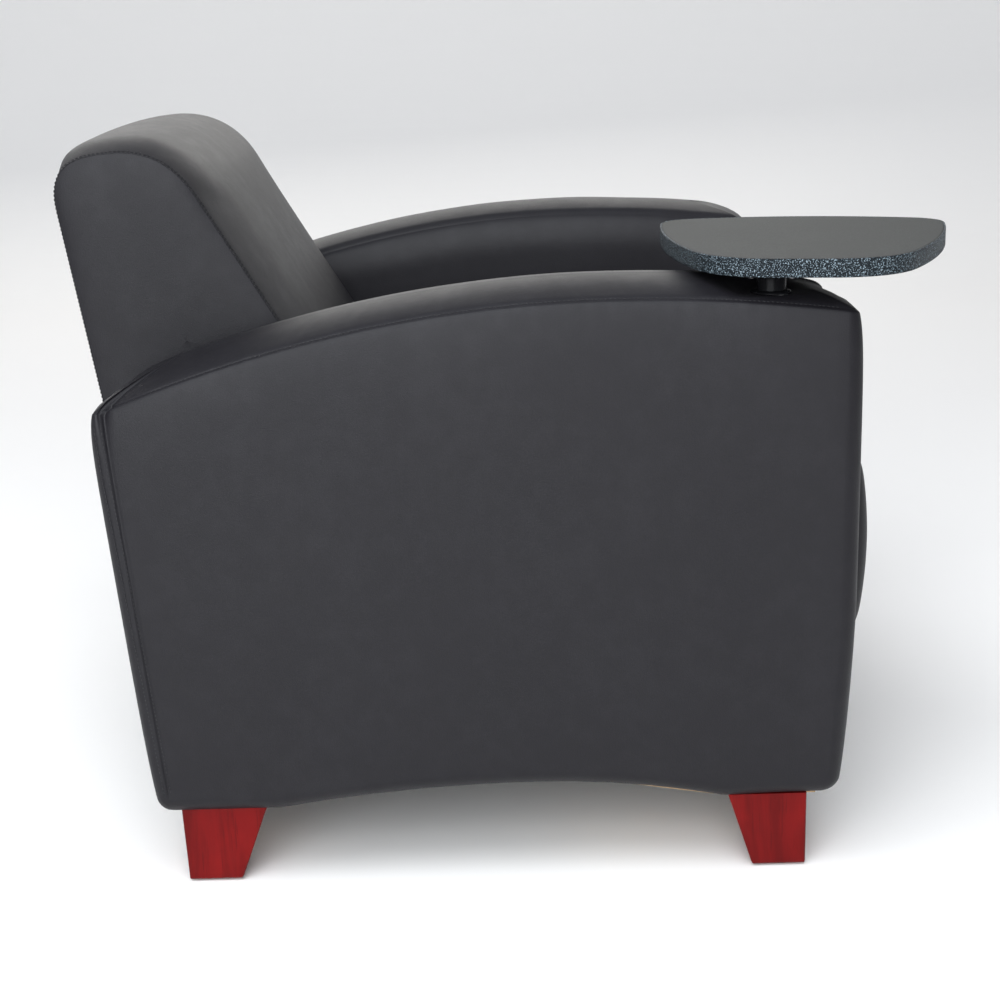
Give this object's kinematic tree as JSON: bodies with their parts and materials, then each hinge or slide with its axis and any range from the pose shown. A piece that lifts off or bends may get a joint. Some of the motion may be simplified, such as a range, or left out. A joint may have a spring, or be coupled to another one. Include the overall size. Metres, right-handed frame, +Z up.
{
  "type": "tablet arm lounge chair",
  "caption": "Upholstered lounge chair for study or waiting, with rolled arms, a reclined back, tapered wooden feet and a swivelling writing tablet on its right arm.",
  "frame": {"origin": "centre of the bounding box's footprint, on the floor", "axes": "+X towards the sitter's left, +Y from the front of the seat to the back, +Z up"},
  "size_m": [0.9248, 0.9696, 0.7749],
  "materials": {
    "leather": "charcoal black faux leather, fine grain, low sheen",
    "dust_fabric": "black non-woven",
    "foam": "cut polyurethane foam",
    "plywood": "raw sanded",
    "hardwood": "raw sawn",
    "mahogany": "red mahogany stain, satin lacquer",
    "laminate": "fine textured dark grey laminate",
    "speckled_band": "black with fine white speckle",
    "black_steel": "gloss black",
    "zinc_steel": "zinc plated",
    "spring_steel": "oiled wire",
    "nylon": "satin",
    "webbing": "elastic woven band"
  },
  "bodies": {
    "chair": {"back_cover": "leather", "back_foam": "foam", "back_left_upright": "hardwood", "back_lower_rail": "hardwood", "back_right_upright": "hardwood", "back_top_rail": "hardwood", "back_webbing_1": "webbing", "back_webbing_2": "webbing", "back_webbing_3": "webbing", "dust_cover": "dust_fabric", "front_border": "leather", "left_arm_bottom_rail": "hardwood", "left_arm_cover": "leather", "left_arm_front_post": "hardwood", "left_arm_inner_panel": "plywood", "left_arm_outer_panel": "plywood", "left_arm_rear_post": "hardwood", "left_arm_top_rail": "hardwood", "left_front_foot": "mahogany", "left_front_glide": "nylon", "left_front_hanger_bolt": "zinc_steel", "left_rear_foot": "mahogany", "left_rear_glide": "nylon", "left_rear_hanger_bolt": "zinc_steel", "outside_back_panel": "leather", "right_arm_bottom_rail": "hardwood", "right_arm_cover": "leather", "right_arm_front_post": "hardwood", "right_arm_inner_panel": "plywood", "right_arm_outer_panel": "plywood", "right_arm_rear_post": "hardwood", "right_arm_top_rail": "hardwood", "right_front_foot": "mahogany", "right_front_glide": "nylon", "right_front_hanger_bolt": "zinc_steel", "right_rear_foot": "mahogany", "right_rear_glide": "nylon", "right_rear_hanger_bolt": "zinc_steel", "seat_cushion": "leather", "seat_front_rail": "hardwood", "seat_left_rail": "hardwood", "seat_rear_rail": "hardwood", "seat_right_rail": "hardwood", "seat_spring_1": "spring_steel", "seat_spring_2": "spring_steel", "seat_spring_3": "spring_steel", "seat_spring_4": "spring_steel", "swivel_bush": "nylon", "swivel_flange": "black_steel", "swivel_socket": "zinc_steel", "thrust_washer": "nylon"},
    "tablet": {"swivel_post": "black_steel", "tablet_board": "laminate", "tablet_edge_band": "speckled_band", "tablet_plate": "black_steel", "tablet_screw_1": "zinc_steel", "tablet_screw_2": "zinc_steel", "tablet_screw_3": "zinc_steel", "tablet_screw_4": "zinc_steel"}
  },
  "joints": [
    {"name": "tablet_swivel", "type": "hinge", "parent": "chair", "child": "tablet", "pos_m": [-0.40464, -0.25799, 0.619], "axis": [0, 0, 1], "continuous": true}
  ]
}
